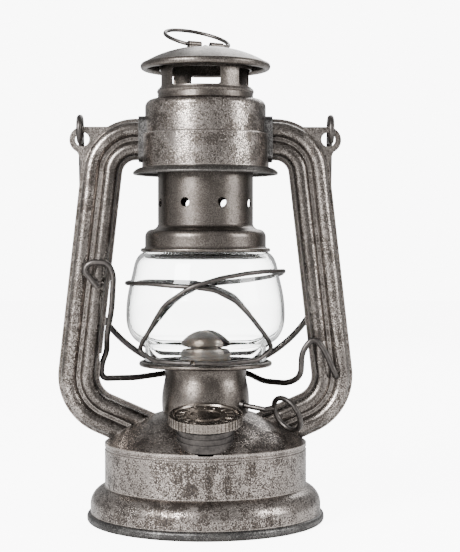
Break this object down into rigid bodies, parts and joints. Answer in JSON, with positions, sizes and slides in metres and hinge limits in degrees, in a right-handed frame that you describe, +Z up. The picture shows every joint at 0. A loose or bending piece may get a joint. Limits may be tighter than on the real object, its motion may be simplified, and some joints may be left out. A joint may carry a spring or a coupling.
{
  "type": "hurricane lantern",
  "caption": "Tubular cold-blast oil lantern: tank, burner, wick raiser, glass globe in a wire guard, globe lifter, sprung hood, side air tubes, lifting ring and bail handle.",
  "frame": {"origin": "centre of the foot ring on the surface the lantern stands on", "axes": "+Z up, -Y the side with the filler cap, X through the two side tubes"},
  "size_m": [0.1536, 0.1234, 0.259],
  "materials": {
    "worn_tin": "aged tinplate, speckled with dark pits, worn bright on edges",
    "smooth_tin": "aged tinplate, smoother, soft brown-grey streaks",
    "dark_tin": "darkened tinplate, satin",
    "wire_steel": "dark grey steel wire, satin",
    "burner_brass": "nickelled and tarnished burner metal, satin",
    "clear_glass": "clear polished glass",
    "cotton_wick": "flat woven cotton",
    "cork_seal": "matte composition cork"
  },
  "bodies": {
    "lantern": {"foot_ring": "dark_tin", "tank_shell": "worn_tin", "tank_bottom": "dark_tin", "tank_dome": "worn_tin", "air_duct": "dark_tin", "filler_neck": "worn_tin", "burner_throat": "smooth_tin", "burner_seat": "dark_tin", "shaft_bush": "wire_steel", "wick_tube": "burner_brass", "burner_deck": "burner_brass", "cone_collar": "burner_brass", "burner_cone": "burner_brass", "left_tube_front": "worn_tin", "left_tube_back": "worn_tin", "right_tube_front": "worn_tin", "right_tube_back": "worn_tin", "left_tube_collar": "dark_tin", "right_tube_collar": "dark_tin", "left_bail_ear": "worn_tin", "right_bail_ear": "worn_tin", "drum_floor": "smooth_tin", "drum_band": "worn_tin", "drum_canopy": "worn_tin", "hood_spring": "wire_steel"},
    "filler_gasket": {"filler_gasket": "cork_seal"},
    "filler_cap": {"filler_cap": "worn_tin"},
    "wick_raiser": {"wick_shaft": "wire_steel", "wick_wheels": "burner_brass"},
    "wick": {"wick": "cotton_wick"},
    "globe_carriage": {"globe_plate": "smooth_tin", "globe": "clear_glass", "globe_guard": "wire_steel"},
    "lifter": {"globe_lifter": "wire_steel"},
    "hood": {"chimney_tube": "smooth_tin", "chimney_skirt": "smooth_tin", "spring_seat": "dark_tin", "hood_collar": "smooth_tin", "hood_cap": "smooth_tin", "ring_clips": "smooth_tin", "clip_rivet": "smooth_tin"},
    "lifting_ring": {"lifting_ring": "wire_steel"},
    "bail": {"bail": "wire_steel"}
  },
  "joints": [
    {"name": "gasket_lift", "type": "slide", "parent": "lantern", "child": "filler_gasket", "axis": [0, -0.1908, 0.9816], "range_m": [0, 0.005]},
    {"name": "cap_turn", "type": "hinge", "parent": "filler_gasket", "child": "filler_cap", "pos_m": [0, -0.0424, 0.05985], "axis": [0, -0.1908, 0.9816], "range_deg": [0, 720]},
    {"name": "wick_turn", "type": "hinge", "parent": "lantern", "child": "wick_raiser", "pos_m": [-0.00158, -0.00324, 0.06426], "axis": [0.8901, -0.4341, -0.1392], "range_deg": [-120, 95]},
    {"name": "wick_slide", "type": "slide", "parent": "lantern", "child": "wick", "axis": [0, 0, 1], "range_m": [-0.0048, 0.0038]},
    {"name": "globe_lift", "type": "slide", "parent": "lantern", "child": "globe_carriage", "axis": [0, 0, 1], "range_m": [0, 0.007]},
    {"name": "lifter_swing", "type": "hinge", "parent": "lantern", "child": "lifter", "pos_m": [0.0673, -0.0075, 0.0753], "axis": [0, 1, 0], "range_deg": [0, 5.3]},
    {"name": "hood_lift", "type": "slide", "parent": "globe_carriage", "child": "hood", "axis": [0, 0, 1], "range_m": [0, 0.016], "stiffness_N_per_m": 150, "springref_m": -0.02, "deforming": ["hood_spring"]},
    {"name": "ring_swing", "type": "hinge", "parent": "hood", "child": "lifting_ring", "pos_m": [0, 0, 0.247], "axis": [0.866, 0.5, 0], "range_deg": [-15, 145]},
    {"name": "bail_swing", "type": "hinge", "parent": "lantern", "child": "bail", "pos_m": [0, 0, 0.2032], "axis": [1, 0, 0], "range_deg": [0, 255]}
  ],
  "couplings": [
    {"joint": "cap_turn", "follows": "gasket_lift", "rad_per_m": 2513.2},
    {"joint": "wick_turn", "follows": "wick_slide", "rad_per_m": 434.78},
    {"joint": "lifter_swing", "follows": "globe_lift", "rad_per_m": 12.97}
  ]
}
